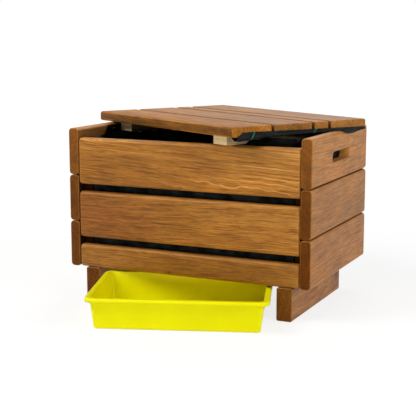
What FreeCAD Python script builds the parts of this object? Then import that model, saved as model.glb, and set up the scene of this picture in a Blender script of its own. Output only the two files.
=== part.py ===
import FreeCAD, Part
import math
import os

# A wooden garden worm composter: a box of planed boards on two runners, lined with woven cloth,
# with a loose boarded lid laid askew on top and a loose moulded tray pulled out from under it.
# Millimetres. X to the right, Y to the back, Z up from the ground.

# boards
board_width = 95.0
half_board_width = 47.5
board_thickness = 22.0
edge_round = 6.0
end_ease = 2.0

# the box
inner_width = 483.0
box_depth = 349.5
side_board_gap = 1.0
lid_step = 19.0
front_board_end_gap = 0.5
side_board_rows = 3
wide_front_boards = 2

# hand holes in the top side boards
hand_hole_length = 110.0
hand_hole_height = 21.0
hand_hole_ease = 3.0

# battens: the corner posts and the two under the lid are cut from one section
batten_width = 43.0
batten_thickness = 18.5
batten_round = 2.0
post_drop = 2.0

# floor slats, left square as sawn
slat_thickness = 18.5
slat_count = 3
slat_gap = 5.0
slat_end_gap = 1.0

# runners on edge
runner_thickness = 32.0
runner_height = 66.0
runner_length = 293.0
runner_centre = 211.2
runner_round = 4.0

# cloth
liner_thickness = 1.0
liner_clearance = 0.3
liner_top = 264.0
liner_flap_rise = 19.0
liner_flap_inset = 50.0
liner_corner = 6.5
lining_thickness = 0.8
lining_left_inset = 6.0
lining_front_inset = 12.0
lining_back_inset = 3.0
lining_corner_cut = 15.0
lining_turnup_front = 10.0
lining_turnup_back = 5.0

# the lid, in its own length (along the boards) and depth (across them)
lid_length = 482.0
lid_board_thickness = 20.0
lid_narrow_width = 37.0
lid_board_gap = 6.0
lid_rest_gap = 0.3
lid_batten_length = 292.0
lid_batten_inset = 48.0

# where the loose lid lies on the box
lid_centre_x = 0.0
lid_centre_y = 33.25
lid_turn = -29.3

# the tray
tray_length = 346.0
tray_width = 238.0
tray_height = 62.0
tray_corner = 22.0
tray_wall = 2.0
tray_rim_width = 9.5
tray_rim_height = 8.0
tray_rim_round = 3.5
tray_draft = 7.5
tray_foot_round = 4.0

# where the loose tray stands on the ground
tray_centre_x = 19.3
tray_centre_y = -222.0
tray_turn = 19.5

# worked out from the sizes above
half_inner = inner_width / 2
half_depth = box_depth / 2
box_bottom = runner_height
side_pitch = board_width + side_board_gap
side_top = box_bottom + side_board_rows * side_pitch - side_board_gap
front_top = side_top - lid_step
front_boards_height = wide_front_boards * board_width + half_board_width
front_gap = (front_top - box_bottom - front_boards_height) / wide_front_boards
front_length = inner_width - 2 * front_board_end_gap
inner_half_depth = half_depth - board_thickness
floor_top = box_bottom + slat_thickness
slat_width = (2 * inner_half_depth - (slat_count + 1) * slat_gap) / slat_count
post_top = front_top - post_drop
lid_board_widths = {
    "lid_board_front": board_width,
    "lid_board_middle": board_width,
    "lid_board_narrow": lid_narrow_width,
    "lid_board_back": board_width,
}
lid_depth = sum(lid_board_widths.values()) + (len(lid_board_widths) - 1) * lid_board_gap
lid_bottom = side_top + lid_rest_gap + lining_thickness

X = FreeCAD.Vector(1, 0, 0)
Y = FreeCAD.Vector(0, 1, 0)
Z = FreeCAD.Vector(0, 0, 1)


def at(x, y, z):
    return FreeCAD.Vector(x, y, z)


def box(low, high):
    size = high.sub(low)
    return Part.makeBox(size.x, size.y, size.z, low)


def edges_along(shape, axis):
    """Straight edges of the shape that run along the axis."""
    found = []
    for edge in shape.Edges:
        if isinstance(edge.Curve, Part.Line) and abs(edge.Curve.Direction.dot(axis)) > 0.999:
            found.append(edge)
    return found


def edges_on_plane(shape, axis, value):
    """Edges that lie in the plane square to the axis at that value."""
    found = []
    for edge in shape.Edges:
        around = edge.BoundBox
        low = at(around.XMin, around.YMin, around.ZMin).dot(axis)
        high = at(around.XMax, around.YMax, around.ZMax).dot(axis)
        if abs(low - value) < 0.001 and abs(high - value) < 0.001:
            found.append(edge)
    return found


def board(low, high, along, long_round, ease=0.0):
    """A planed board: round long edges, and ends that are eased all round."""
    solid = box(low, high)
    solid = solid.makeFillet(long_round, edges_along(solid, along))
    if ease > 0:
        for value in (low.dot(along), high.dot(along)):
            solid = solid.makeChamfer(ease, edges_on_plane(solid, along, value))
    return solid


def rounded_face(corners, place):
    """A face from corners (point, radius), each rounded by an arc; place turns the two numbers
    of a point into a place in space."""
    starts = []
    ends = []
    middles = []
    for number, (point, radius) in enumerate(corners):
        here = place(*point)
        before = place(*corners[number - 1][0])
        after = place(*corners[(number + 1) % len(corners)][0])
        to_before = before.sub(here).normalize()
        to_after = after.sub(here).normalize()
        half_angle = to_before.getAngle(to_after) / 2
        reach = radius / math.tan(half_angle)
        inward = to_before.add(to_after).normalize()
        starts.append(here.add(to_before * reach))
        middles.append(here.add(inward * (radius / math.sin(half_angle) - radius)))
        ends.append(here.add(to_after * reach))
    edges = []
    for number, (point, radius) in enumerate(corners):
        following = starts[(number + 1) % len(corners)]
        if radius > 0:
            edges.append(Part.Arc(starts[number], middles[number], ends[number]).toShape())
        if ends[number].distanceToPoint(following) > 0.001:
            edges.append(Part.makeLine(ends[number], following))
    return Part.Face(Part.Wire(edges))


# side boards

def row_bottom(row):
    return box_bottom + row * side_pitch


def hand_hole(low_x, high_x, middle):
    """The slot that the fingers go through, as solids to cut: a plug and a flare at each face."""
    radius = hand_hole_height / 2
    straight = hand_hole_length / 2 - radius
    corners = []
    for y, z in [(-1, -1), (1, -1), (1, 1), (-1, 1)]:
        corners.append(((y * (straight + radius), middle + z * radius), radius))
    outline = rounded_face(corners, lambda y, z: at(low_x, y, z))
    tools = [outline.extrude(X * (high_x - low_x))]
    wide = radius + hand_hole_ease
    for x, way in [(low_x, 1), (high_x, -1)]:
        deep = x + way * hand_hole_ease
        section = [
            at(x, -straight, middle - wide),
            at(x, -straight, middle + wide),
            at(deep, -straight, middle + radius),
            at(deep, -straight, middle - radius),
        ]
        tools.append(Part.Face(Part.makePolygon(section + section[:1])).extrude(Y * (2 * straight)))
        for y in (-straight, straight):
            tools.append(Part.makeCone(wide, radius, hand_hole_ease, at(x, y, middle), X * way))
    return tools


def side_board(side, row):
    inner = side * half_inner
    outer = side * (half_inner + board_thickness)
    z = row_bottom(row)
    low = at(min(inner, outer), -half_depth, z)
    high = at(max(inner, outer), half_depth, z + board_width)
    solid = board(low, high, Y, edge_round, end_ease)
    if row == side_board_rows - 1:
        solid = solid.cut(hand_hole(low.x, high.x, z + board_width / 2)).removeSplitter()
    return solid


# front and back boards

def end_board_span(row):
    """Bottom and top of a front or back board; row 0 is the half board."""
    if row == 0:
        return box_bottom, box_bottom + half_board_width
    low = box_bottom + half_board_width + front_gap + (row - 1) * (board_width + front_gap)
    return low, low + board_width


def end_board(end, row):
    outer = end * half_depth
    inner = end * inner_half_depth
    bottom, top = end_board_span(row)
    low = at(-front_length / 2, min(outer, inner), bottom)
    high = at(front_length / 2, max(outer, inner), top)
    return board(low, high, X, edge_round, end_ease)


def corner_post(side, end):
    """A batten in the corner, flat against a side board and behind the ends of the end boards."""
    sideways = [side * half_inner, side * (half_inner - batten_thickness)]
    endways = [end * inner_half_depth, end * (inner_half_depth - batten_width)]
    low = at(min(sideways), min(endways), floor_top)
    high = at(max(sideways), max(endways), post_top)
    return board(low, high, Z, batten_round)


# floor and runners

def floor_slat(number):
    front = -inner_half_depth + slat_gap + number * (slat_width + slat_gap)
    half_length = half_inner - slat_end_gap
    low = at(-half_length, front, box_bottom)
    high = at(half_length, front + slat_width, floor_top)
    return box(low, high)


def runner(side):
    centre = side * runner_centre
    low = at(centre - runner_thickness / 2, -half_depth, 0)
    high = at(centre + runner_thickness / 2, -half_depth + runner_length, runner_height)
    return board(low, high, Y, runner_round, end_ease)


# the liner: a bag that lies against the boards and round the posts

def liner_body(spare, bottom, top):
    """A block in the outline of the space inside the box, drawn in by spare all round."""
    wide = half_inner - spare
    between_posts = half_inner - batten_thickness - spare
    deep = inner_half_depth - spare
    beside_posts = inner_half_depth - batten_width - spare
    quarter = [
        (wide, beside_posts, liner_corner - spare),
        (between_posts, beside_posts, 0),
        (between_posts, deep, liner_corner - spare),
    ]
    corners = []
    for side_x, side_y in [(1, 1), (-1, 1), (-1, -1), (1, -1)]:
        for x, y, radius in quarter:
            corners.append(((side_x * x, side_y * y), radius))
        quarter.reverse()
    outline = rounded_face(corners, lambda x, y: at(x, y, bottom))
    return outline.extrude(Z * (top - bottom))


def liner():
    """The bag, with a flap on each side that goes higher up the side boards between the posts."""
    bottom = floor_top + liner_clearance
    top = box_bottom + liner_top
    flap_top = top + liner_flap_rise
    outside = liner_body(liner_clearance, bottom, flap_top)
    inside = liner_body(liner_clearance + liner_thickness, bottom + liner_thickness, side_top)
    half_flap = inner_half_depth - batten_width - liner_flap_inset
    beside_flaps = [
        box(at(-half_inner, -inner_half_depth, top), at(half_inner, -half_flap, flap_top)),
        box(at(-half_inner, half_flap, top), at(half_inner, inner_half_depth, flap_top)),
    ]
    return outside.cut([inside] + beside_flaps)


# the lid: modelled along the axes about its own middle, then laid on the box

def lid_place(shape):
    turn = FreeCAD.Rotation(Z, lid_turn)
    shape.Placement = FreeCAD.Placement(at(lid_centre_x, lid_centre_y, 0), turn)
    return shape


def lid_boards():
    """The lid's boards by name, from its front edge to its back edge."""
    boards = {}
    front = -lid_depth / 2
    for name, width in lid_board_widths.items():
        low = at(-lid_length / 2, front, lid_bottom)
        high = at(lid_length / 2, front + width, lid_bottom + lid_board_thickness)
        boards[name] = lid_place(board(low, high, X, edge_round, end_ease))
        front += width + lid_board_gap
    return boards


def lid_batten(side):
    outer = side * (lid_length / 2 - lid_batten_inset)
    inner = outer - side * batten_width
    top = lid_bottom - lining_thickness
    low = at(min(inner, outer), -lid_batten_length / 2, top - batten_thickness)
    high = at(max(inner, outer), lid_batten_length / 2, top)
    return lid_place(board(low, high, Y, batten_round))


def lid_lining():
    """Cloth under the lid boards, turned up over their right ends with one corner cut off."""
    left = -lid_length / 2 + lining_left_inset
    right = lid_length / 2
    front = -lid_depth / 2 + lining_front_inset
    back = lid_depth / 2 - lining_back_inset
    bottom = lid_bottom - lining_thickness
    flat = box(at(left, front, bottom), at(right + lining_thickness, back, lid_bottom))
    corners = [
        at(right, front, bottom),
        at(right, back, bottom),
        at(right, back, lid_bottom + lining_turnup_back),
        at(right, front + lining_corner_cut, lid_bottom + lining_turnup_front),
    ]
    turned_up = Part.Face(Part.makePolygon(corners + corners[:1])).extrude(X * lining_thickness)
    return lid_place(flat.fuse(turned_up).removeSplitter())


# the tray: modelled about its own middle, then stood on the ground

def tray_section():
    """The moulded wall cut across, from a corner's axis out to the rim that is rolled over."""
    rim_bottom = tray_height - tray_rim_height
    under_rim = tray_height - tray_wall
    wall_top = tray_corner - tray_rim_width
    wall_foot = wall_top - tray_draft
    slope = tray_draft / under_rim
    inner_foot = wall_foot - tray_wall
    corners = [
        ((0, 0), 0),
        ((wall_foot, 0), tray_foot_round),
        ((wall_top, under_rim), 0),
        ((tray_corner - tray_wall, under_rim), 0),
        ((tray_corner - tray_wall, rim_bottom), 0),
        ((tray_corner, rim_bottom), 0),
        ((tray_corner, tray_height), tray_rim_round),
        ((inner_foot + slope * tray_height, tray_height), 0),
        ((inner_foot + slope * tray_foot_round, tray_foot_round), 0),
        ((wall_foot - tray_foot_round, tray_wall), 0),
        ((0, tray_wall), 0),
    ]
    return rounded_face(corners, lambda x, z: at(x, 0, z))


def tray():
    """The section swept along the four sides and revolved round the four corners of a flat floor."""
    section = tray_section()
    half_length = tray_length / 2 - tray_corner
    half_width = tray_width / 2 - tray_corner
    floor = box(at(-half_length, -half_width, 0), at(half_length, half_width, tray_wall))
    pieces = []
    reach, run = half_length, half_width
    for quarter in range(4):
        wall = section.extrude(Y * (2 * run))
        wall.translate(at(reach, -run, 0))
        corner = section.revolve(at(0, 0, 0), Z, 90)
        corner.translate(at(reach, run, 0))
        for piece in (wall, corner):
            piece.rotate(at(0, 0, 0), Z, 90 * quarter)
            pieces.append(piece)
        reach, run = run, reach
    solid = floor.fuse(pieces).removeSplitter()
    turn = FreeCAD.Rotation(Z, tray_turn)
    solid.Placement = FreeCAD.Placement(at(tray_centre_x, tray_centre_y, 0), turn)
    return solid


# every node by name

side_names = {-1: "left", 1: "right"}
end_names = {-1: "front", 1: "back"}
row_names = ["bottom", "middle", "top"]
slat_names = ["front", "middle", "back"]

nodes = {}
for side, side_name in side_names.items():
    for row, row_name in enumerate(row_names):
        nodes[f"side_board_{side_name}_{row_name}"] = side_board(side, row)
    nodes[f"runner_{side_name}"] = runner(side)
    nodes[f"lid_batten_{side_name}"] = lid_batten(side)
    for end, end_name in end_names.items():
        nodes[f"corner_post_{end_name}_{side_name}"] = corner_post(side, end)
for end, end_name in end_names.items():
    for row, row_name in enumerate(row_names):
        nodes[f"{end_name}_board_{row_name}"] = end_board(end, row)
for number, name in enumerate(slat_names):
    nodes[f"floor_slat_{name}"] = floor_slat(number)
nodes.update(lid_boards())
nodes["liner"] = liner()
nodes["lid_lining"] = lid_lining()
nodes["tray"] = tray()

# the origin is on the ground, under the middle of the whole outline
whole = FreeCAD.BoundBox()
for shape in nodes.values():
    whole.add(shape.optimalBoundingBox(True, False))
shift = at(-(whole.XMin + whole.XMax) / 2, -(whole.YMin + whole.YMax) / 2, 0)

os.makedirs("parts", exist_ok=True)
for name, shape in nodes.items():
    moved = shape.copy()
    moved.translate(shift)
    moved.exportStep(f"parts/{name}.step")
print("box centre in this frame:", round(shift.x, 3), round(shift.y, 3))
print("whole outline:", round(whole.XLength, 2), round(whole.YLength, 2), round(whole.ZLength, 2))
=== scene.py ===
import bpy
import bmesh
import math
import random
from mathutils import Matrix, Vector, noise


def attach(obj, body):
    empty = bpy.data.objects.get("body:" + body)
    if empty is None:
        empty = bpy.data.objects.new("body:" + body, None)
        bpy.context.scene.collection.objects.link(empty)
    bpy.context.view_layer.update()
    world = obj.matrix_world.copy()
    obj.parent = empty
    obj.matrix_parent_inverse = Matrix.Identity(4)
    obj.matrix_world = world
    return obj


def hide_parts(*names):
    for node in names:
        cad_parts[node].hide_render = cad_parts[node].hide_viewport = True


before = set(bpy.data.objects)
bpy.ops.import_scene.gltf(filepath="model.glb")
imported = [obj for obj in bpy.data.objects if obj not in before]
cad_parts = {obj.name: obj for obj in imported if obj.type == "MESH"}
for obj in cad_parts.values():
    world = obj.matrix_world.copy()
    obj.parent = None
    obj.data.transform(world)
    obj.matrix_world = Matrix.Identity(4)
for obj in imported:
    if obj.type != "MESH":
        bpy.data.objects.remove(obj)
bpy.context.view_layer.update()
print("frame loaded:", len(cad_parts), "nodes")

# A wooden garden worm composter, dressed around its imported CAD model.
# Metres, with angles in degrees. X to the right, Y to the back, Z up from the ground.

xAxis = Vector((1, 0, 0))
yAxis = Vector((0, 1, 0))
zAxis = Vector((0, 0, 1))

# where the loose lid and the loose tray lie, turned in the ground plan
lidPlace = {"middle": (-0.0001, 0.0769), "turn": -29.3}
trayPlace = {"middle": (0.0192, -0.1783), "turn": 19.5}


def groundPose(place):
    turned = Matrix.Rotation(math.radians(place["turn"]), 4, "Z")
    return Matrix.Translation((*place["middle"], 0)) @ turned


boxPose = Matrix.Identity(4)
lidPose = groundPose(lidPlace)
trayPose = groundPose(trayPlace)


def nodeSpan(node, pose=boxPose):
    # lowest and highest corner of a CAD node, seen along the axes of its pose
    back = pose.inverted()
    points = [back @ v.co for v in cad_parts[node].data.vertices]
    low = Vector(min(p[i] for p in points) for i in range(3))
    high = Vector(max(p[i] for p in points) for i in range(3))
    return low, high


def smoothStep(value, start, end):
    t = min(1, max(0, (value - start) / (end - start)))
    return t * t * (3 - 2 * t)


# building blocks of the materials

noiseSpan = (0.3, 0.7)  # most of a noise lies between these values
noiseMiddle = (0.5, 0.5, 0.5)


def addNode(material, kind, inputs=None, **settings):
    made = material.node_tree.nodes.new(kind)
    for name, value in settings.items():
        setattr(made, name, value)
    for name, value in (inputs or {}).items():
        if isinstance(value, bpy.types.NodeSocket):
            material.node_tree.links.new(value, made.inputs[name])
        else:
            made.inputs[name].default_value = value
    return made


def calc(material, operation, *values):
    return addNode(material, "ShaderNodeMath", dict(enumerate(values)), operation=operation).outputs[0]


def chain(material, operation, *values):
    # one operation from value to value, such as a product of several
    result = values[0]
    for value in values[1:]:
        result = calc(material, operation, result, value)
    return result


def vectorCalc(material, operation, first, second):
    return addNode(material, "ShaderNodeVectorMath", {0: first, 1: second}, operation=operation).outputs[0]


def lengthOf(material, first, second):
    squares = [calc(material, "MULTIPLY", side, side) for side in (first, second)]
    return calc(material, "SQRT", calc(material, "ADD", *squares))


def fitRange(material, value, low, high, newLow, newHigh, smooth=False):
    kind = "SMOOTHSTEP" if smooth else "LINEAR"
    inputs = {0: value, 1: low, 2: high, 3: newLow, 4: newHigh}
    return addNode(material, "ShaderNodeMapRange", inputs, interpolation_type=kind).outputs[0]


def sway(material, cloud, low, high):
    # a noise brought to the range from low to high
    return fitRange(material, cloud, *noiseSpan, low, high)


def aroundOne(material, cloud, amount):
    return sway(material, cloud, 1 - amount, 1 + amount)


def cloudNoise(material, place, scale, detail=3.0, roughness=0.55):
    # noise drawn out by a different scale on each axis
    spread = addNode(material, "ShaderNodeMapping", {"Vector": place, "Scale": scale}).outputs[0]
    inputs = {"Vector": spread, "Scale": 1.0, "Detail": detail, "Roughness": roughness}
    return addNode(material, "ShaderNodeTexNoise", inputs)


def readAttribute(material, name):
    return addNode(material, "ShaderNodeAttribute", attribute_name=name).outputs["Vector"]


def objectPlace(material):
    return addNode(material, "ShaderNodeTexCoord").outputs["Object"]


def splitVector(material, vector):
    return addNode(material, "ShaderNodeSeparateXYZ", {0: vector}).outputs


def withAlpha(colour):
    return colour if isinstance(colour, bpy.types.NodeSocket) else (*colour, 1)


def mixColour(material, share, first, second, blend="MIX"):
    # a mix node has its two colours at inputs 6 and 7 and the mixed one at output 2
    inputs = {0: share, 6: withAlpha(first), 7: withAlpha(second)}
    return addNode(material, "ShaderNodeMix", inputs, data_type="RGBA", blend_type=blend).outputs[2]


def tinted(material, colour, tint):
    return mixColour(material, 1.0, colour, tint, "MULTIPLY")


def shaded(material, colour, shade):
    grey = addNode(material, "ShaderNodeCombineXYZ", {0: shade, 1: shade, 2: shade}).outputs[0]
    return tinted(material, colour, grey)


def ramp(material, value, stops):
    made = addNode(material, "ShaderNodeValToRGB", {"Fac": value})
    band = made.color_ramp
    while len(band.elements) < len(stops):
        band.elements.new(0.5)
    for element, (position, colour) in zip(band.elements, stops):
        element.position = position
        element.color = withAlpha(colour)
    return made.outputs["Color"]


def startMaterial(name):
    material = bpy.data.materials.new(name)
    material.use_nodes = True
    return material, material.node_tree.nodes["Principled BSDF"]


def plug(material, output, shader, socket):
    material.node_tree.links.new(output, shader.inputs[socket])


def addBump(material, shader, height, strength, distance):
    inputs = {"Height": height, "Strength": strength, "Distance": distance}
    bump = addNode(material, "ShaderNodeBump", inputs)
    plug(material, bump.outputs["Normal"], shader, "Normal")


# wood: each board carries three attributes
# grain is a point's place in the log with x along the pith, knot its place from the board's knot and
# the knot's size, and sides holds end grain, wear with some painted light, and tone with painted shade
# in a look, ring is the rings' width, wander and ripple say how far they stray, and line, fibre,
# blotch and patch how strong each mark is

stainedLook = {
    "dark": (0.190, 0.058, 0.006), "middle": (0.335, 0.117, 0.012), "light": (0.420, 0.170, 0.022),
    "lineColour": (0.54, 0.27, 0.060), "line": 0.46, "ring": 0.0036, "wander": 0.020, "ripple": 0.006,
    "fibre": 0.30, "blotch": 0.13, "patch": 0.20,
    "nearTint": (0.70, 0.57, 0.60), "endTint": (0.32, 0.21, 0.10), "wornAndLitColour": (0.90, 0.46, 0.13),
    "knotColour": (0.045, 0.016, 0.004), "roughs": (0.57, 0.45), "shine": 0.5, "endShine": 0.15,
    "sheenTint": (1.0, 0.72, 0.42),
}
evenLook = dict(stainedLook, dark=(0.240, 0.082, 0.011), light=(0.385, 0.153, 0.023), line=0.30, fibre=0.22,
                blotch=0.22, ripple=0.004)
streakedLook = dict(stainedLook, line=0.6, lineColour=(0.70, 0.375, 0.095), ripple=0.0030, wander=0.016)
matLook = dict(stainedLook, shine=0.16, endShine=0.16)
satinLook = dict(stainedLook, shine=0.38, endShine=0.38)
shadedLook = dict(stainedLook, shine=0.08, endShine=0.08)
bareLook = {
    "dark": (0.70, 0.49, 0.25), "middle": (0.82, 0.62, 0.34), "light": (0.87, 0.70, 0.43),
    "lineColour": (0.52, 0.32, 0.13), "line": 0.55, "ring": 0.0042, "wander": 0.024, "ripple": 0.006,
    "fibre": 0.08, "blotch": 0.06, "patch": 0.06,
    "nearTint": (0.80, 0.70, 0.60), "endTint": (0.95, 0.90, 0.82), "wornAndLitColour": (0.74, 0.55, 0.30),
    "knotColour": (0.16, 0.07, 0.03), "roughs": (0.67, 0.55), "shine": 0.4, "endShine": 0.2,
    "sheenTint": (1.0, 0.93, 0.80),
}

# alike in every finish: the noises, drawn out along the grain, and how knots, rings and relief are made
woodClouds = {
    "bend": {"scale": (2.6, 10.0, 10.0), "detail": 3.0, "roughness": 0.5},
    "ripple": {"scale": (26.0, 34.0, 34.0), "detail": 2.0, "roughness": 0.5},
    "fineFibre": {"scale": (40.0, 800.0, 800.0), "detail": 3.0, "roughness": 0.65},
    "coarseFibre": {"scale": (13.0, 330.0, 330.0), "detail": 4.0, "roughness": 0.62},
    "blotch": {"scale": (20.0, 44.0, 44.0), "detail": 4.0, "roughness": 0.62},
    "patches": {"scale": (4.0, 12.0, 12.0), "detail": 2.0, "roughness": 0.5},
}
knotForm = {"stretch": 0.5, "leastSize": 0.0004, "core": (0.7, 1.2), "near": (0.6, 6.0), "swing": 1.6,
            "coreShare": 0.85}
ringForm = {"paceScale": 60.0, "paceDetail": 1.0, "paceSwing": 2.2, "lineRise": (0.30, 0.86),
            "lineFall": (0.90, 1.0), "patchSpan": (0.38, 0.66), "leastLine": 0.22, "endLine": 0.5}
fibreStops = {"dark": 0.37, "middle": 0.50, "light": 0.64}
woodRelief = {"strength": 0.30, "depth": 0.0006, "fineFibre": 0.5, "ringLine": 0.22, "blotch": 0.8}


def knotFields(material, form):
    # a knot is an oval drawn out along the grain, and the rings swing round it
    # a size below nought gives only a soft dark place
    knotX, knotY, knotSize = splitVector(material, readAttribute(material, "knot"))
    reach = lengthOf(material, calc(material, "MULTIPLY", knotX, form["stretch"]), knotY)
    size = calc(material, "MAXIMUM", calc(material, "ABSOLUTE", knotSize), form["leastSize"])
    away = calc(material, "DIVIDE", reach, size)
    core = calc(material, "MULTIPLY", fitRange(material, away, *form["core"], 1.0, 0.0),
                calc(material, "GREATER_THAN", knotSize, 0.0))
    near = fitRange(material, away, *form["near"], 1.0, 0.0, smooth=True)
    push = calc(material, "MULTIPLY", calc(material, "MAXIMUM", knotSize, 0.0), form["swing"])
    return core, near, calc(material, "MULTIPLY", near, push)


def bendGrain(material, grain, look):
    # the pith wanders, and the rings ripple
    bend = cloudNoise(material, grain, **woodClouds["bend"]).outputs["Color"]
    bend = vectorCalc(material, "SUBTRACT", bend, noiseMiddle)
    bend = vectorCalc(material, "MULTIPLY", bend, (0, look["wander"], look["wander"]))
    ripple = cloudNoise(material, grain, **woodClouds["ripple"]).outputs["Color"]
    ripple = vectorCalc(material, "MULTIPLY", ripple, (0, look["ripple"], look["ripple"]))
    return vectorCalc(material, "ADD", vectorCalc(material, "ADD", grain, bend), ripple)


def ringLines(material, bent, swing, ringWidth, form):
    # growth rings, each with a hard line at its edge
    radius = calc(material, "ADD", lengthOf(material, *splitVector(material, bent)[1:]), swing)
    paceInputs = {"W": calc(material, "MULTIPLY", radius, form["paceScale"]), "Detail": form["paceDetail"]}
    pace = addNode(material, "ShaderNodeTexNoise", paceInputs, noise_dimensions="1D").outputs[0]
    count = calc(material, "ADD", calc(material, "MULTIPLY", radius, 1.0 / ringWidth),
                 calc(material, "MULTIPLY", pace, form["paceSwing"]))
    within = calc(material, "FRACT", count)
    return calc(material, "MULTIPLY", fitRange(material, within, *form["lineRise"], 0.0, 1.0, smooth=True),
                fitRange(material, within, *form["lineFall"], 1.0, 0.0))


def woodMaterial(name, look):
    material, shader = startMaterial(name)
    endShare, wearAndLightShare, tone = splitVector(material, readAttribute(material, "sides"))
    grain = readAttribute(material, "grain")
    core, near, swing = knotFields(material, knotForm)
    bent = bendGrain(material, grain, look)
    ringLine = ringLines(material, bent, swing, look["ring"], ringForm)
    fineFibre = cloudNoise(material, bent, **woodClouds["fineFibre"]).outputs[0]
    coarseFibre = cloudNoise(material, bent, **woodClouds["coarseFibre"]).outputs[0]
    blotch = cloudNoise(material, grain, **woodClouds["blotch"]).outputs[0]
    patches = cloudNoise(material, grain, **woodClouds["patches"]).outputs[0]

    # the stain lies darker in the soft wood, so the hard lines stay light
    colour = ramp(material, coarseFibre, [(place, look[stop]) for stop, place in fibreStops.items()])
    patchLine = fitRange(material, patches, *ringForm["patchSpan"], look["line"] * ringForm["leastLine"],
                         look["line"])
    endLine = calc(material, "MULTIPLY", endShare, ringForm["endLine"])
    lineShare = calc(material, "MAXIMUM", patchLine, endLine)
    colour = mixColour(material, calc(material, "MULTIPLY", ringLine, lineShare), colour, look["lineColour"])
    # the board's tone here holds its own tone and the painted shade of faces and edges that lie in shade
    shades = [aroundOne(material, fineFibre, look["fibre"]), aroundOne(material, blotch, look["blotch"]),
              aroundOne(material, patches, look["patch"]), tone]
    colour = shaded(material, colour, chain(material, "MULTIPLY", *shades))
    colour = mixColour(material, near, colour, tinted(material, colour, look["nearTint"]))
    # rounded edges and the hand holes' walls are mixed towards a lighter colour: partly wear, partly painted
    # highlight and painted light
    colour = mixColour(material, wearAndLightShare, colour, look["wornAndLitColour"])
    colour = mixColour(material, endShare, colour, tinted(material, colour, look["endTint"]))
    coreShare = calc(material, "MULTIPLY", core, knotForm["coreShare"])
    colour = mixColour(material, coreShare, colour, look["knotColour"])
    plug(material, colour, shader, "Base Color")

    plug(material, sway(material, coarseFibre, *look["roughs"]), shader, "Roughness")
    if look["shine"] == look["endShine"]:
        shader.inputs["Specular IOR Level"].default_value = look["shine"]
    else:
        shine = fitRange(material, endShare, 0.0, 1.0, look["shine"], look["endShine"])
        plug(material, shine, shader, "Specular IOR Level")
    shader.inputs["Specular Tint"].default_value = withAlpha(look["sheenTint"])
    raised = {"fineFibre": fineFibre, "ringLine": ringLine, "blotch": blotch}
    heights = [calc(material, "MULTIPLY", field, woodRelief[part]) for part, field in raised.items()]
    addBump(material, shader, chain(material, "ADD", *heights), woodRelief["strength"], woodRelief["depth"])
    return material


stainedPine = woodMaterial("stainedPine", stainedLook)
evenPine = woodMaterial("evenPine", evenLook)
streakedPine = woodMaterial("streakedPine", streakedLook)
matPine = woodMaterial("matPine", matLook)
satinPine = woodMaterial("satinPine", satinLook)
shadedPine = woodMaterial("shadedPine", shadedLook)
barePine = woodMaterial("barePine", bareLook)
print("wood finishes ready")


# cloth: woven flat tapes on the piece's own map, which is in metres

linerLook = {
    "colour": (0.0085, 0.0102, 0.0100), "tape": 0.0030, "underShade": 0.1, "overHighlight": 2.4,
    "dust": {"scale": (38.0, 38.0, 38.0), "detail": 4.0, "roughness": 0.6},
    "dustSpan": (0.36, 0.66), "dustTones": (0.15, 2.0), "hem": 0.243, "shadedTopEdge": 0.001, "shadedTopTone": 0.06,
    "stripes": [], "stripeWidth": 0.0024, "stripeColour": (0.0, 0.22, 0.115),
    "shine": 0.03, "roughs": (0.65, 0.47),
    "crownHeight": 1.2, "dipHeight": 2.0, "relief": 0.5, "depth": 0.0004,
}
liningLook = dict(linerLook, hem=1.0, shine=0.12, colour=(0.0058, 0.0072, 0.0072), stripes=[0.0465, 0.200])


def clothMaterial(name, look):
    material, shader = startMaterial(name)
    place = addNode(material, "ShaderNodeUVMap", uv_map="weave").outputs[0]
    run, rise = splitVector(material, place)[:2]
    warp = calc(material, "MULTIPLY", run, 1.0 / look["tape"])
    weft = calc(material, "MULTIPLY", rise, 1.0 / look["tape"])
    cell = calc(material, "ADD", calc(material, "FLOOR", warp), calc(material, "FLOOR", weft))
    over = calc(material, "GREATER_THAN", calc(material, "FLOORED_MODULO", cell, 2.0), 0.5)
    warpCrown = calc(material, "PINGPONG", warp, 0.5)
    weftCrown = calc(material, "PINGPONG", weft, 0.5)
    crowns = {0: over, 2: warpCrown, 3: weftCrown}
    crown = addNode(material, "ShaderNodeMix", crowns, data_type="FLOAT").outputs[0]
    dips = chain(material, "MULTIPLY", warpCrown, weftCrown, look["dipHeight"])
    height = calc(material, "ADD", calc(material, "MULTIPLY", crown, look["crownHeight"]), dips)
    dust = cloudNoise(material, place, **look["dust"]).outputs[0]
    # the cloth is darker along its top edge: painted shade, so that the part standing up above the boards
    # stays black
    hem = fitRange(material, rise, look["hem"], look["hem"] + look["shadedTopEdge"], 1.0, look["shadedTopTone"])
    # tapes that lie over are painted far lighter than those under them: a painted highlight and shade on the
    # weave
    shades = [fitRange(material, over, 0.0, 1.0, look["underShade"], look["overHighlight"]),
              fitRange(material, dust, *look["dustSpan"], *look["dustTones"]), hem]
    colour = shaded(material, look["colour"], chain(material, "MULTIPLY", *shades))
    for stripe in look["stripes"]:
        off = calc(material, "ABSOLUTE", calc(material, "SUBTRACT", rise, stripe))
        inside = calc(material, "LESS_THAN", off, look["stripeWidth"] / 2)
        colour = mixColour(material, inside, colour, look["stripeColour"])
    plug(material, colour, shader, "Base Color")
    plug(material, sway(material, dust, *look["roughs"]), shader, "Roughness")
    shader.inputs["Specular IOR Level"].default_value = look["shine"]
    addBump(material, shader, height, look["relief"], look["depth"])
    return material


linerCloth = clothMaterial("linerCloth", linerLook)
liningCloth = clothMaterial("liningCloth", liningLook)


# the tray's plastic and the fixings' steel

trayLook = {"colour": (0.86, 0.815, 0.0), "cloudScale": (14.0, 14.0, 14.0), "tones": (0.96, 1.03),
            "roughs": (0.30, 0.40), "sheenTint": (1.0, 1.0, 0.1), "skinScale": (900.0, 900.0, 900.0),
            "skinDetail": 2.0, "relief": 0.08, "depth": 0.0002}


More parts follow.
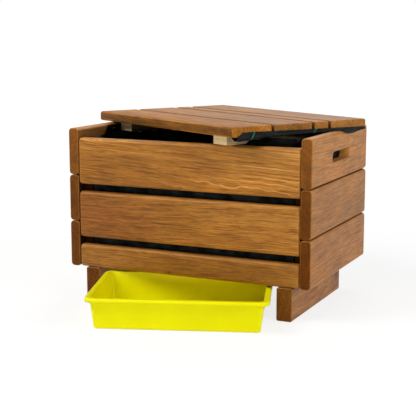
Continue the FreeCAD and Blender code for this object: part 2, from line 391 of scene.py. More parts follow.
def trayMaterial(look):
    material, shader = startMaterial("yellowPlastic")
    place = objectPlace(material)
    cloud = cloudNoise(material, place, look["cloudScale"]).outputs[0]
    colour = shaded(material, look["colour"], sway(material, cloud, *look["tones"]))
    plug(material, colour, shader, "Base Color")
    plug(material, sway(material, cloud, *look["roughs"]), shader, "Roughness")
    shader.inputs["Specular Tint"].default_value = withAlpha(look["sheenTint"])
    skin = cloudNoise(material, place, look["skinScale"], look["skinDetail"]).outputs[0]
    addBump(material, shader, skin, look["relief"], look["depth"])
    return material


steelLook = {"spotScale": (700.0, 700.0, 700.0), "spotDetail": 2.0, "dull": (0.42, 0.40, 0.36),
             "dullAt": 0.35, "bright": (0.66, 0.64, 0.60), "brightAt": 0.65, "roughs": (0.46, 0.36)}


def steelMaterial(look):
    material, shader = startMaterial("platedSteel")
    spots = cloudNoise(material, objectPlace(material), look["spotScale"], look["spotDetail"]).outputs[0]
    colour = ramp(material, spots, [(look["dullAt"], look["dull"]), (look["brightAt"], look["bright"])])
    plug(material, colour, shader, "Base Color")
    plug(material, sway(material, spots, *look["roughs"]), shader, "Roughness")
    shader.inputs["Metallic"].default_value = 1.0
    return material


yellowPlastic = trayMaterial(trayLook)
platedSteel = steelMaterial(steelLook)
print("cloth, plastic and steel ready")


# making and finishing pieces

alongAxis = 0.99  # a direction counts as along an axis from here up
samePlane = 0.00002
gridHalf = 0.5  # a grid is made one unit wide


def meshFrom(bm, name):
    mesh = bpy.data.meshes.new(name)
    bm.to_mesh(mesh)
    bm.free()
    made = bpy.data.objects.new(name, mesh)
    bpy.context.scene.collection.objects.link(made)
    return made


def finishPiece(bm, name, material, body, nodes=(), smoothAngle=40, flatten=False):
    piece = meshFrom(bm, name)
    mesh = piece.data
    mesh.polygons.foreach_set("use_smooth", [True] * len(mesh.polygons))
    mesh.set_sharp_from_angle(angle=math.radians(smoothAngle))
    mesh.materials.append(material)
    if flatten:
        piece.modifiers.new("flatFaces", "WEIGHTED_NORMAL").keep_sharp = True
    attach(piece, body)
    if nodes:
        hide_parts(*nodes)
    return piece


def edgesAlong(bm, axis):
    return [e for e in bm.edges if abs((e.verts[0].co - e.verts[1].co).normalized()[axis]) > alongAxis]


def roundEdges(bm, edges, offset, segments):
    bmesh.ops.bevel(bm, geom=edges, offset=offset, offset_type="OFFSET", segments=segments, profile=0.5,
                    affect="EDGES", material=-1)


def cubeOf(size):
    bm = bmesh.new()
    bmesh.ops.create_cube(bm, size=1)
    bmesh.ops.scale(bm, vec=size, verts=bm.verts)
    return bm


def gridOf(columns, rows):
    bm = bmesh.new()
    bmesh.ops.create_grid(bm, x_segments=columns, y_segments=rows, size=gridHalf)
    return bm


def cutPlane(bm, point, direction, clear=False):
    bmesh.ops.bisect_plane(bm, geom=bm.verts[:] + bm.edges[:] + bm.faces[:], plane_co=point,
                           plane_no=direction, clear_outer=clear)


def giveThickness(piece, amount, offset=0):
    made = piece.modifiers.new("thickness", "SOLIDIFY")
    made.thickness = amount
    made.offset = offset
    return made


# boards: cut along their own x, with y across the face, then turned to where the CAD node is

boardShape = {"edgeRound": 0.0072, "endEase": 0.0022, "edgeSegments": 6, "endSegments": 3}
endShape = dict(boardShape, endEase=0.0050)
battenShape = dict(boardShape, edgeRound=0.002, endEase=0.0008, edgeSegments=3)
sawnShape = dict(boardShape, edgeRound=0.0008, endEase=0.0006, edgeSegments=2)
runnerShape = dict(boardShape, edgeRound=0.004)
lidShape = dict(boardShape, edgeRound=0.005)
# the hole's walls are lighter, most at its ends: partly bare worn wood, partly painted light; its lowered
# tone is painted shade
handHole = {"length": 0.110, "height": 0.021, "ease": 0.0012, "cornerSegments": 12, "rimSegments": 5,
            "cornerSpare": 0.00005, "spare": 0.001, "cutTimes": 3, "wear": 0.3, "endWearAndLight": 0.5, "tone": 0.8}

# a board's look where it names nothing else
# tone is for the whole board, its own tone and any painted shade; faceShade is painted shade on the
# face that looks right, forwards or up, and lowEdgeShade and highEdgeShade painted shade on its long edges,
# which are the faces whose normal has a y share above edgeFrom
noKnot = (0, 0, 0.00001)  # too small to show
plainBoard = {"finish": stainedPine, "endShare": 0.9, "faceShade": 1, "lowEdgeShade": 1, "highEdgeShade": 1,
              "edgeFrom": 0.8, "wear": 0.05, "lean": 0, "knot": noKnot}
# drawn by lot for each node: where in the log its board was cut, and its tone
boardLuck = {"log": ((0, 9), (-0.05, 0.05), (0.035, 0.075)), "tone": (0.94, 1.06)}
# shares of a normal that tell a board's flat face, its roundings and a hole's wall apart
normalLimits = {"faceFrom": 0.9, "roundedBelow": 0.98, "wallBelow": 0.5, "endPower": 4}


def insideHole(point, hole):
    reachX = hole["length"] / 2 + hole["spare"]
    reachY = hole["height"] / 2 + hole["spare"]
    return abs(point.x) < reachX and abs(point.y) < reachY


def cutHandHole(bm, size, hole):
    # a slot is taken out of the board and its rims are rounded over
    # the cutter is cutTimes as high as the board is thick
    slot = cubeOf((hole["length"], hole["height"], size.z * hole["cutTimes"]))
    roundEdges(slot, edgesAlong(slot, 2), hole["height"] / 2 - hole["cornerSpare"], hole["cornerSegments"])
    board = meshFrom(bm, "uncutBoard")
    cutter = meshFrom(slot, "slotCutter")
    cut = board.modifiers.new("slot", "BOOLEAN")
    cut.operation = "DIFFERENCE"
    cut.solver = "EXACT"
    cut.object = cutter
    result = bpy.data.meshes.new_from_object(board.evaluated_get(bpy.context.evaluated_depsgraph_get()))
    bpy.data.objects.remove(board)
    bpy.data.objects.remove(cutter)
    holed = bmesh.new()
    holed.from_mesh(result)
    onRim = {v for v in holed.verts if abs(abs(v.co.z) - size.z / 2) < samePlane and insideHole(v.co, hole)}
    rim = [e for e in holed.edges if all(v in onRim for v in e.verts)]
    roundEdges(holed, rim, hole["ease"], hole["rimSegments"])
    return holed


def faceSides(face, look, hole):
    # the end grain, wear with painted light, and tone with painted shade of one face
    normal = face.normal
    if hole and abs(normal.z) < normalLimits["wallBelow"] and insideHole(face.calc_center_median(), hole):
        return 0, hole["wear"] + hole["endWearAndLight"] * abs(normal.x), look["tone"] * hole["tone"]
    part = look["faceShade"] if normal.z > normalLimits["faceFrom"] else 1
    if abs(normal.y) > look["edgeFrom"]:
        part = look["lowEdgeShade" if normal.y < 0 else "highEdgeShade"]
    wear = look["wear"] if max(abs(n) for n in normal) < normalLimits["roundedBelow"] else 0
    return normal.x ** normalLimits["endPower"] * look["endShare"], wear, look["tone"] * part


def paintBoard(bm, look, hole):
    log = Vector(look["log"])
    knot = Vector(look["knot"])
    lean = Matrix.Rotation(math.radians(look["lean"]), 3, "Z")
    grainLayer = bm.verts.layers.float_vector.new("grain")
    knotLayer = bm.verts.layers.float_vector.new("knot")
    sidesLayer = bm.faces.layers.float_vector.new("sides")
    for v in bm.verts:
        v[grainLayer] = lean @ v.co + log
        v[knotLayer] = (v.co.x - knot.x, v.co.y - knot.y, knot.z)
    for f in bm.faces:
        f[sidesLayer] = faceSides(f, look, hole)


def layBoard(node, along, across, look, shape=boardShape, pose=boxPose, body="box",
             hole=None):
    axes = pose @ Matrix((along, across, along.cross(across))).transposed().to_4x4()
    low, high = nodeSpan(node, axes)
    size = high - low
    bm = cubeOf(size)
    roundEdges(bm, edgesAlong(bm, 0), shape["edgeRound"], shape["edgeSegments"])
    endEdges = [e for e in bm.edges if abs(e.verts[0].co.x - e.verts[1].co.x) < samePlane]
    roundEdges(bm, endEdges, shape["endEase"], shape["endSegments"])
    if hole:
        bm = cutHandHole(bm, size, hole)
    bm.normal_update()
    luck = random.Random(node)
    drawnLog = [luck.uniform(*span) for span in boardLuck["log"]]
    drawnTone = luck.uniform(*boardLuck["tone"])
    full = {**plainBoard, "log": drawnLog, "tone": drawnTone, **look}
    paintBoard(bm, full, hole)
    bmesh.ops.transform(bm, matrix=axes @ Matrix.Translation((low + high) / 2), verts=bm.verts)
    first, *rest = node.split("_")
    name = first + "".join(word.capitalize() for word in rest)
    finishPiece(bm, name, full["finish"], body, nodes=[node], flatten=True)


# tones below 1 darken the edges between boards and the faces that look into the box, which lie in deep
# shade in the photo; the corner posts are darkened most of all
sideLooks = {
    "side_board_left_top": {"tone": 1.0, "faceShade": 0.5, "endShare": 0.72, "lowEdgeShade": 0.3},
    "side_board_left_middle": {"tone": 0.96, "faceShade": 0.06, "endShare": 0.9, "lowEdgeShade": 0.3,
                               "highEdgeShade": 0.3},
    "side_board_left_bottom": {"tone": 0.94, "faceShade": 0.06, "endShare": 0.9, "highEdgeShade": 0.3},
    "side_board_right_top": {"tone": 1.08, "endShare": 0.78, "lowEdgeShade": 0.3},
    "side_board_right_middle": {"tone": 0.95, "endShare": 0.95, "lowEdgeShade": 0.3, "highEdgeShade": 0.3},
    "side_board_right_bottom": {"tone": 1.0, "endShare": 1.0, "highEdgeShade": 0.3},
}
for node, look in sideLooks.items():
    layBoard(node, yAxis, zAxis, dict(look, finish=evenPine), hole=handHole if node.endswith("top") else None)

endLooks = {
    "front_board_top": {"finish": streakedPine, "tone": 0.97, "log": (2.0, 0.034, 0.044), "lean": 3},
    "front_board_middle": {"tone": 0.93, "log": (4.1, 0.070, 0.030), "knot": (-0.205, -0.005, -0.018)},
    "front_board_bottom": {"tone": 0.78, "log": (6.4, -0.080, 0.040), "knot": (-0.035, -0.017, 0.0016)},
    "back_board_top": {"knot": (0.110, 0.012, 0.006), "faceShade": 0.3, "highEdgeShade": 0.5},
    "back_board_middle": {},
    "back_board_bottom": {},
}
for node, look in endLooks.items():
    layBoard(node, xAxis, zAxis, look, shape=endShape)

# the corner posts' very low tone is painted shade
postLook = {"finish": shadedPine, "tone": 0.05, "wear": 0.0}
for end in ("front", "back"):
    for side in ("left", "right"):
        layBoard(f"corner_post_{end}_{side}", zAxis, yAxis, postLook, shape=battenShape)

for place in ("front", "middle", "back"):
    layBoard(f"floor_slat_{place}", xAxis, yAxis, {"finish": barePine}, shape=sawnShape)

runnerLooks = {
    "runner_left": {"tone": 0.86},
    "runner_right": {"tone": 0.92, "endShare": 0.74, "knot": (0.124, 0.004, 0.0062)},
}
for node, look in runnerLooks.items():
    layBoard(node, yAxis, zAxis, look, shape=runnerShape)
print("box boards done")

# the lid's upper faces, the edges between its boards and its front edge are darkened as painted shade
# the ends of the lid's boards are as light as their faces
lidLooks = {
    "lid_board_front": {"finish": matPine, "tone": 1.2, "faceShade": 0.73, "lowEdgeShade": 0.4, "highEdgeShade": 0.3},
    "lid_board_middle": {"finish": satinPine, "faceShade": 0.78, "highEdgeShade": 0.3, "edgeFrom": 0.4},
    "lid_board_narrow": {"finish": satinPine, "faceShade": 0.78, "highEdgeShade": 0.3, "edgeFrom": 0.4},
    "lid_board_back": {"faceShade": 0.72, "edgeFrom": 0.4},
}
lidCommon = {"tone": 1.06, "endShare": 0.0, "lowEdgeShade": 0.3}
for node, look in lidLooks.items():
    layBoard(node, xAxis, yAxis, {**lidCommon, **look}, shape=lidShape, pose=lidPose, body="lid")

# each batten's right-facing long side is darkened as painted shade, the left batten's most
battenLooks = {
    "lid_batten_left": {"finish": barePine, "tone": 1.1, "endShare": 0.3, "lowEdgeShade": 0.12},
    "lid_batten_right": {"finish": barePine, "tone": 1.14, "endShare": 0.1, "lowEdgeShade": 0.5},
}
for node, look in battenLooks.items():
    layBoard(node, yAxis, -xAxis, look, shape=battenShape, pose=lidPose, body="lid")
print("lid boards done")


# the tray: one skin from the foot of the turned-down rim, over it and down to the floor, then its thickness

trayShape = {"corner": 0.022, "cornerSegments": 14, "rimWidth": 0.01125, "rimHeight": 0.008, "draft": 0.0075,
             "wall": 0.002, "rimRound": 0.0035, "lipRound": 0.0015, "footRound": 0.0035, "roundSegments": 6}


def makeTray(shape):
    low, high = nodeSpan("tray", trayPose)
    size = high - low
    middle = (low + high) / 2
    bm = gridOf(1, 1)
    bmesh.ops.scale(bm, vec=(size.x, size.y, 1), verts=bm.verts)
    bmesh.ops.bevel(bm, geom=bm.verts[:], offset=shape["corner"], offset_type="OFFSET",
                    segments=shape["cornerSegments"], profile=0.5, affect="VERTICES", material=-1)
    # the outline drawn up is the rim's outside, and its top is set in twice, level and then down
    outline = bm.faces[:]
    skirt = bmesh.ops.extrude_face_region(bm, geom=outline)
    top = [g for g in skirt["geom"] if isinstance(g, bmesh.types.BMFace)]
    bmesh.ops.delete(bm, geom=outline, context="FACES_ONLY")
    bmesh.ops.translate(bm, vec=(0, 0, shape["rimHeight"]), verts=top[0].verts)
    rims = {"rimRound": list(top[0].edges)}
    bmesh.ops.inset_individual(bm, faces=top, thickness=shape["rimWidth"], use_even_offset=True)
    rims["lipRound"] = list(top[0].edges)
    bmesh.ops.inset_individual(bm, faces=top, thickness=shape["draft"], depth=shape["wall"] - size.z,
                               use_even_offset=True)
    rims["footRound"] = list(top[0].edges)
    for name, edges in rims.items():
        roundEdges(bm, edges, shape[name], shape["roundSegments"])
    bmesh.ops.recalc_face_normals(bm, faces=bm.faces)
    floor = min(bm.faces, key=lambda f: f.calc_center_median().z)
    if floor.normal.z < 0:
        bmesh.ops.reverse_faces(bm, faces=bm.faces)
    bmesh.ops.translate(bm, vec=(middle.x, middle.y, high.z - shape["rimHeight"]), verts=bm.verts)
    bmesh.ops.transform(bm, matrix=trayPose, verts=bm.verts)
    piece = finishPiece(bm, "collectingTray", yellowPlastic, "tray", nodes=["tray"],
                        smoothAngle=60)
    giveThickness(piece, shape["wall"], offset=-1).use_even_offset = True


makeTray(trayShape)
print("tray done")


# the liner: a bag that stands against the boards and goes round the posts
# its top edge is low along the front boards and in the corners, and higher up the side boards;
# right of the lid's batten it stands up above the front board as a dark sheet that stands in for shade
# sideRise and backFall are stretches of y, and frontRise is one of x, where that edge rises or falls

linerShape = {
    "thickness": 0.0008, "clearance": 0.0003, "foldRound": 0.006, "foldSegments": 4, "step": 0.012,
    "gapSteps": 4, "drop": 0.019, "dropFrom": 0.17, "sidesFrom": 0.2, "sideRise": (-0.027, -0.012),
    "backFall": (0.103, 0.118), "frontRise": (0.117, 0.131), "wave": 0.0012, "waveScale": (11, 11, 16),
    "heldFrom": 0.035, "heldTo": 0.015, "bulge": 0.0026, "bulgeSwing": (0.55, 0.45), "bulgeScale": 23,
    "gapScale": 90, "wallDepth": 0.004,
}


def linerDrop(x, y, shape):
    # how far the top edge lies below the flaps' top at a place on the ground plan
    beforeBack = 1 - smoothStep(y, *shape["backFall"])
    onSides = smoothStep(y, *shape["sideRise"]) * beforeBack if abs(x) > shape["sidesFrom"] else 0
    shadeSheet = smoothStep(x, *shape["frontRise"]) * beforeBack
    return shape["drop"] * (1 - max(onSides, shadeSheet))


def foldBag(size, notch, shape):
    # a floor with its corners cut out for the posts, and walls drawn up from its edges
    bm = gridOf(3, 3)
    for v in bm.verts:
        for axis in (0, 1):
            outer = abs(v.co[axis]) > gridHalf / 2
            inset = shape["thickness"] / 2 if outer else notch[axis]
            v.co[axis] = math.copysign(size[axis] / 2 - inset, v.co[axis])
    middles = {f: f.calc_center_median() for f in bm.faces}
    corners = [f for f, middle in middles.items()
               if all(abs(middle[axis]) > size[axis] / 2 - notch[axis] for axis in (0, 1))]
    bmesh.ops.delete(bm, geom=corners, context="FACES")
    walls = bmesh.ops.extrude_edge_only(bm, edges=[e for e in bm.edges if e.is_boundary])
    rim = [g for g in walls["geom"] if isinstance(g, bmesh.types.BMVert)]
    bmesh.ops.translate(bm, vec=(0, 0, size.z), verts=rim)
    roundEdges(bm, edgesAlong(bm, 2), shape["foldRound"], shape["foldSegments"])
    return bm


def cutSteps(bm, size, gaps, shape):
    # fine enough for waves, and finer across the gaps between the front boards
    # the bag has its middle at nought along x and y, and its floor at nought along z
    for axis, direction in enumerate((xAxis, yAxis, zAxis)):
        steps = int(size[axis] / shape["step"])
        start = 0 if axis == 2 else -size[axis] / 2
        for number in range(1, steps):
            cutPlane(bm, direction * (start + size[axis] * number / steps), direction)
    for gapLow, gapHigh in gaps:
        for number in range(shape["gapSteps"] + 1):
            cutPlane(bm, zAxis * (gapLow + (gapHigh - gapLow) * number / shape["gapSteps"]), zAxis)
    bmesh.ops.recalc_face_normals(bm, faces=bm.faces)
    bm.normal_update()


def mapWeave(bm):
    # the bag's floor is mapped from above, and each wall from its own side
    weave = bm.loops.layers.uv.new("weave")
    for f in bm.faces:
        level = abs(f.normal.z) > max(abs(f.normal.x), abs(f.normal.y))
        endwise = abs(f.normal.y) > abs(f.normal.x)
        for loop in f.loops:
            co = loop.vert.co
            loop[weave].uv = (co.x, co.y) if level else (co.x if endwise else co.y, co.z)


def loosenLiner(bm, size, middle, gaps, shape):
    # the walls get their top edge, hang in slight waves and swell into the gaps at the front and back
    start = shape["dropFrom"]
    evenSwell, swellSwing = shape["bulgeSwing"]
    for v in bm.verts:
        endwise = abs(v.co.y / size.y) >= abs(v.co.x / size.x)
        outward = yAxis * math.copysign(1, v.co.y) if endwise else xAxis * math.copysign(1, v.co.x)
        top = size.z - linerDrop(v.co.x + middle.x, v.co.y + middle.y, shape)
        if v.co.z > start:
            v.co.z = start + (v.co.z - start) * (top - start) / (size.z - start)
        loose = 1 - smoothStep(v.co.z, top - shape["heldFrom"], top - shape["heldTo"])
        ripple = 0.5 + 0.5 * noise.noise(v.co * Vector(shape["waveScale"]))
        v.co -= outward * ripple * loose * shape["wave"]
        if endwise and abs(v.co.y) > size.y / 2 - shape["wallDepth"]:
            for gapLow, gapHigh in gaps:
                share = (v.co.z - gapLow) / (gapHigh - gapLow)
                if 0 < share < 1:
                    place = Vector((v.co.x * shape["bulgeScale"], gapLow * shape["gapScale"], v.co.y))
                    swell = evenSwell + swellSwing * noise.noise(place)
                    v.co += outward * math.sin(math.pi * share) * swell * shape["bulge"]


def hangLiner(shape):
    low, high = nodeSpan("liner")
    size = high - low
    middle = (low + high) / 2
    postHigh = nodeSpan("corner_post_front_left")[1]
    inset = shape["clearance"] + shape["thickness"] / 2
    notch = (postHigh.x + inset - low.x, postHigh.y + inset - low.y)
    boards = [nodeSpan(f"front_board_{place}") for place in ("bottom", "middle", "top")]
    gaps = [(below[1].z - low.z, above[0].z - low.z) for below, above in zip(boards, boards[1:])]
    bm = foldBag(size, notch, shape)
    cutSteps(bm, size, gaps, shape)
    mapWeave(bm)
    loosenLiner(bm, size, middle, gaps, shape)
    bmesh.ops.translate(bm, vec=(middle.x, middle.y, low.z + shape["thickness"] / 2), verts=bm.verts)
    piece = finishPiece(bm, "linerBag", linerCloth, "box", nodes=["liner"], smoothAngle=50)
    giveThickness(piece, shape["thickness"])


hangLiner(linerShape)


# the lid's lining: laid under the boards, slack near their right ends, and turned up over them
# half its columns lie flat, and the other half are in the slack and the turned-up part
# sideBoard is the x of the side board that the slack lies on, and frontFrom the stretch of y ahead of it

liningShape = {
    "thickness": 0.0006, "clearance": 0.00015, "columns": 60, "rows": 96, "flatShare": 0.5,
    "turnFront": 0.010, "turnBack": 0.005, "upFrom": 0.66, "past": 0.0012, "spare": 0.002, "slant": 0.5,
    "cutFrom": 0.012, "cutTo": 0.027, "slack": 0.020, "sag": 0.0030, "backSag": 0.0085,
    "frontSag": 0.0070, "frontFrom": (0.110, 0.124), "sideBoard": 0.2525, "sideFree": (0.0085, 0.0135),
    "sagSwing": (0.85, 0.3), "sagScale": 38, "endTaper": 0.040, "endHold": 0.8, "sagPower": 1.4,
    "sagTail": 0.35, "ripple": 0.0003, "rippleScale": (20, 14), "waver": 0.0005, "waverScale": (45, 3),
    "seeds": {"ripple": 1, "sag": (3, 7), "waver": 5},
}


def liningSag(x, across, backEdge, shape):
    # how deep the slack hangs: not at all on the box's side board, and most behind and ahead of it
    world = lidPose @ Vector((x, across, 0))
    ahead = smoothStep(-world.y, *shape["frontFrom"])
    deep = shape["sag"] + ahead * (shape["frontSag"] - shape["sag"])
    if world.x > shape["sideBoard"]:
        deep = shape["backSag"]
    evenSag, sagSwing = shape["sagSwing"]
    swing = evenSag + sagSwing * noise.noise(Vector((across * shape["sagScale"], *shape["seeds"]["sag"])))
    deep *= smoothStep(abs(world.x - shape["sideBoard"]), *shape["sideFree"]) * swing
    return deep * (1 - shape["endHold"] * smoothStep(across, backEdge - shape["endTaper"], backEdge))


def mapLining(bm, lengths, fromFront, depth, shape):
    # the turned-up part's weave leans, as cloth does that is folded aslant
    weave = bm.loops.layers.uv.new("weave")
    flatLength, looseLength = lengths
    flatShare = shape["flatShare"]
    for f in bm.faces:
        for loop in f.loops:
            share = loop.vert.co.x + gridHalf
            run = flatLength * min(1, share / flatShare)
            run += looseLength * max(0, (share - flatShare) / (1 - flatShare))
            slant = shape["slant"] * max(0, run - flatLength - shape["slack"])
            loop[weave].uv = (run, (loop.vert.co.y + gridHalf) * depth + fromFront - slant)


def lineLid(shape):
    low, high = nodeSpan("lid_lining", lidPose)
    front, frontHigh = nodeSpan("lid_board_front", lidPose)
    boardsDepth = nodeSpan("lid_board_back", lidPose)[1].y - front.y
    depth = high.y - low.y
    slackFrom = frontHigh.x - shape["slack"]
    flatLength = slackFrom - low.x
    looseLength = shape["slack"] + shape["turnFront"] + shape["spare"]
    lift = shape["thickness"] / 2 + shape["clearance"]
    flatShare = shape["flatShare"]
    seeds = shape["seeds"]
    rippleX, rippleY = shape["rippleScale"]
    waverX, waverY = shape["waverScale"]
    bm = gridOf(shape["columns"], shape["rows"])
    mapLining(bm, (flatLength, looseLength), low.y - front.y, depth, shape)
    for v in bm.verts:
        share = v.co.x + gridHalf
        across = low.y + (v.co.y + gridHalf) * depth
        if share <= flatShare:
            x = low.x + flatLength * share / flatShare
            place = Vector((x * rippleX, across * rippleY, seeds["ripple"]))
            z = -lift - shape["ripple"] * abs(noise.noise(place))
        else:
            loose = (share - flatShare) / (1 - flatShare)
            under = min(1, loose / shape["upFrom"])
            up = max(0, (loose - shape["upFrom"]) / (1 - shape["upFrom"]))
            x = slackFrom + (shape["slack"] + shape["past"]) * under
            hang = math.sin(math.pi * under ** shape["sagPower"]) + shape["sagTail"] * under ** 2
            backShare = (across - front.y) / boardsDepth
            turnUp = shape["turnFront"] + (shape["turnBack"] - shape["turnFront"]) * backShare
            z = -lift - liningSag(x, across, high.y, shape) * hang * (1 - up) + turnUp * up
            place = Vector((across * waverX, loose * waverY, seeds["waver"]))
            x += shape["waver"] * noise.noise(place)
        v.co = (x, across, front.z + z)
    cutCorner = Vector((frontHigh.x, front.y + shape["cutFrom"], front.z))
    slope = Vector((0, shape["cutTo"] - shape["cutFrom"], shape["turnFront"]))
    cutPlane(bm, cutCorner, xAxis.cross(slope), clear=True)
    bmesh.ops.transform(bm, matrix=lidPose, verts=bm.verts)
    bmesh.ops.recalc_face_normals(bm, faces=bm.faces)
    piece = finishPiece(bm, "lidLining", liningCloth, "lid", nodes=["lid_lining"],
                        smoothAngle=60)
    giveThickness(piece, shape["thickness"])


lineLid(liningShape)
print("cloth done")


# fixings: screws up through the lid's battens, staples along the liner's top edge

screwShape = {"radius": 0.0036, "height": 0.0006, "sides": 18, "taper": 0.0005, "driveRadius": 0.0016,
              "driveDepth": 0.0004, "driveEase": 0.0003, "inset": 0.022, "stagger": 0.008,
              "wideFrom": 0.06, "wideRows": (0.25, 0.75), "narrowRows": (0.5,)}
stapleShape = {"length": 0.010, "width": 0.0011, "height": 0.0005, "round": 0.00015, "roundSegments": 2,
               "step": 0.055, "down": 0.007, "endSpare": 0.055, "sideSpare": 0.062, "tilt": 0.2}


def screwHead(bm, place, shape):
    # a low head that looks down, with a round drive sunk in it
    faceRadius = shape["radius"] - shape["taper"]
    head = bmesh.ops.create_cone(bm, cap_ends=True, segments=shape["sides"], radius1=faceRadius,
                                 radius2=shape["radius"], depth=shape["height"])
    face = min({f for v in head["verts"] for f in v.link_faces}, key=lambda f: f.calc_center_median().z)
    bmesh.ops.inset_individual(bm, faces=[face], thickness=faceRadius - shape["driveRadius"])
    bmesh.ops.inset_individual(bm, faces=[face], thickness=shape["driveEase"], depth=-shape["driveDepth"])
    made = [v for v in bm.verts if not v.tag]
    bmesh.ops.translate(bm, vec=place, verts=made)
    for v in made:
        v.tag = True


def driveScrews(shape):
    bm = bmesh.new()
    for side in ("left", "right"):
        battenLow, battenHigh = nodeSpan(f"lid_batten_{side}", lidPose)
        for board in ("front", "middle", "narrow", "back"):
            boardLow, boardHigh = nodeSpan(f"lid_board_{board}", lidPose)
            width = boardHigh.y - boardLow.y
            for share in shape["wideRows" if width > shape["wideFrom"] else "narrowRows"]:
                y = boardLow.y + share * width
                y = min(max(y, battenLow.y + shape["inset"]), battenHigh.y - shape["inset"])
                x = (battenLow.x + battenHigh.x) / 2 + math.copysign(shape["stagger"], share - 0.5)
                screwHead(bm, Vector((x, y, battenLow.z - shape["height"] / 2)), shape)
    bmesh.ops.transform(bm, matrix=lidPose, verts=bm.verts)
    finishPiece(bm, "lidScrews", platedSteel, "lid", smoothAngle=30)


def stapleRow(bm, axis, wall, inward, span, spare, shape, liner):
    # staples along one wall of the liner, each tilted a little by lot
    start = span[0][axis] + spare
    length = span[1][axis] - spare - start
    count = int(length / shape["step"])
    surface = wall + inward * (liner["thickness"] + shape["height"] / 2)
    for number in range(count + 1):
        run = start + length * number / count
        x, y = (run, surface) if axis == 0 else (surface, run)
        z = span[1].z - linerDrop(x, y, liner) - shape["down"]
        size = (shape["length"], shape["height"]) if axis == 0 else (shape["height"], shape["length"])
        staple = bmesh.ops.create_cube(bm, size=1)["verts"]
        bmesh.ops.scale(bm, vec=(*size, shape["width"]), verts=staple)
        luck = random.Random(number + span[0][axis])
        tilt = luck.uniform(-shape["tilt"], shape["tilt"])
        bmesh.ops.rotate(bm, matrix=Matrix.Rotation(tilt, 3, xAxis if axis == 1 else yAxis), verts=staple)
        bmesh.ops.translate(bm, vec=(x, y, z), verts=staple)


def tackLiner(shape, liner):
    span = nodeSpan("liner")
    low, high = span
    bm = bmesh.new()
    for wall, inward in ((low.y, 1), (high.y, -1)):
        stapleRow(bm, 0, wall, inward, span, shape["endSpare"], shape, liner)
    for wall, inward in ((low.x, 1), (high.x, -1)):
        stapleRow(bm, 1, wall, inward, span, shape["sideSpare"], shape, liner)
    roundEdges(bm, bm.edges[:], shape["round"], shape["roundSegments"])
    finishPiece(bm, "linerStaples", platedSteel, "box", smoothAngle=30)


driveScrews(screwShape)
tackLiner(stapleShape, linerShape)
print("fixings done")


# surroundings: a white floor and backdrop, seen as white, with soft lamps

studio = {"floorSize": 60.0, "floorColour": (0.93, 0.93, 0.93), "floorRough": 0.9, "white": (1, 1, 1),
          "floorGlow": 1.05, "skyGlow": 1.0, "shadowShare": 0.24, "shadowReach": (0.5, 2.6),
          "skyColour": (0.97, 0.985, 1.0), "skyStrength": 0.16}
lampAim = (0, 0, 0.2)
# power in watts
lamps = {
    "highFront": {"at": (-0.4, -1.7, 2.4), "size": 1.4, "power": 17, "colour": (1.0, 0.99, 0.97)},
    "leftFront": {"at": (-1.5, -1.5, 2.3), "size": 1.4, "power": 45, "colour": (1.0, 0.99, 0.97)},
    "lowFront": {"at": (0.4, -2.6, 0.15), "size": 0.3, "power": 10, "colour": (1.0, 0.99, 0.97)},
    "right": {"at": (2.6, -0.35, 1.2), "size": 1.3, "power": 31, "colour": (1.0, 0.985, 0.97)},
    "highBack": {"at": (0.0, 1.9, 2.4), "size": 1.6, "power": 22, "colour": (1.0, 1.0, 1.0)},
}
# lens and sensor in millimetres
camera = {"at": (0.8921, -1.9382, 0.5504), "turn": 24.948, "down": 9.707, "lens": 90.04, "sensorWidth": 36}


def placeInScene(name, data, at):
    made = bpy.data.objects.new(name, data)
    bpy.context.scene.collection.objects.link(made)
    made.location = at
    return made


def seenDirectly(material):
    # 1 for camera, mirror and glass rays
    path = addNode(material, "ShaderNodeLightPath").outputs
    rays = [path[f"Is {kind} Ray"] for kind in ("Camera", "Glossy", "Transmission")]
    return chain(material, "MAXIMUM", *rays)


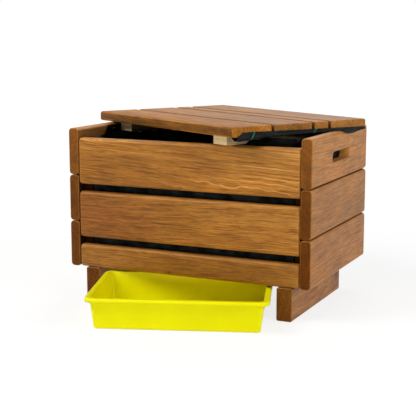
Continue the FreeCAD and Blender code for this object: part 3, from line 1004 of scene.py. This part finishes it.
def makeFloor(look):
    bm = gridOf(1, 1)
    bmesh.ops.scale(bm, vec=(look["floorSize"], look["floorSize"], 1), verts=bm.verts)
    floor = meshFrom(bm, "floor")
    material, shader = startMaterial("paleFloor")
    shader.inputs["Base Color"].default_value = withAlpha(look["floorColour"])
    shader.inputs["Roughness"].default_value = look["floorRough"]
    glowInputs = {"Color": withAlpha(look["white"]), "Strength": look["floorGlow"]}
    glow = addNode(material, "ShaderNodeEmission", glowInputs).outputs[0]
    away = addNode(material, "ShaderNodeVectorMath", {0: objectPlace(material)}, operation="LENGTH")
    whiteShare = fitRange(material, away.outputs["Value"], *look["shadowReach"], 1 - look["shadowShare"], 1.0)
    share = calc(material, "MULTIPLY", seenDirectly(material), whiteShare)
    mixed = addNode(material, "ShaderNodeMixShader", {0: share, 1: shader.outputs[0], 2: glow}).outputs[0]
    plug(material, mixed, material.node_tree.nodes["Material Output"], "Surface")
    floor.data.materials.append(material)


def makeSky(look):
    world = bpy.data.worlds.new("studio")
    bpy.context.scene.world = world
    world.use_nodes = True
    sky = world.node_tree.nodes["Background"]
    sky.inputs["Color"].default_value = withAlpha(look["skyColour"])
    sky.inputs["Strength"].default_value = look["skyStrength"]
    glowInputs = {"Color": withAlpha(look["white"]), "Strength": look["skyGlow"]}
    glow = addNode(world, "ShaderNodeBackground", glowInputs).outputs[0]
    layers = {0: seenDirectly(world), 1: sky.outputs[0], 2: glow}
    mixed = addNode(world, "ShaderNodeMixShader", layers).outputs[0]
    plug(world, mixed, world.node_tree.nodes["World Output"], "Surface")


def makeLamps(look, aim):
    for name, lamp in look.items():
        data = bpy.data.lights.new(name, "AREA")
        data.energy = lamp["power"]
        data.color = lamp["colour"]
        data.size = lamp["size"]
        made = placeInScene(name, data, lamp["at"])
        made.rotation_euler = (Vector(aim) - made.location).to_track_quat("-Z", "Y").to_euler()


def makeCamera(look):
    data = bpy.data.cameras.new("camera")
    data.lens = look["lens"]
    data.sensor_width = look["sensorWidth"]
    made = placeInScene("camera", data, look["at"])
    made.rotation_euler = (math.radians(90 - look["down"]), 0, math.radians(look["turn"]))
    bpy.context.scene.camera = made


makeFloor(studio)
makeSky(studio)
makeLamps(lamps, lampAim)
makeCamera(camera)
bpy.context.scene.view_settings.view_transform = "Standard"
print("studio ready")
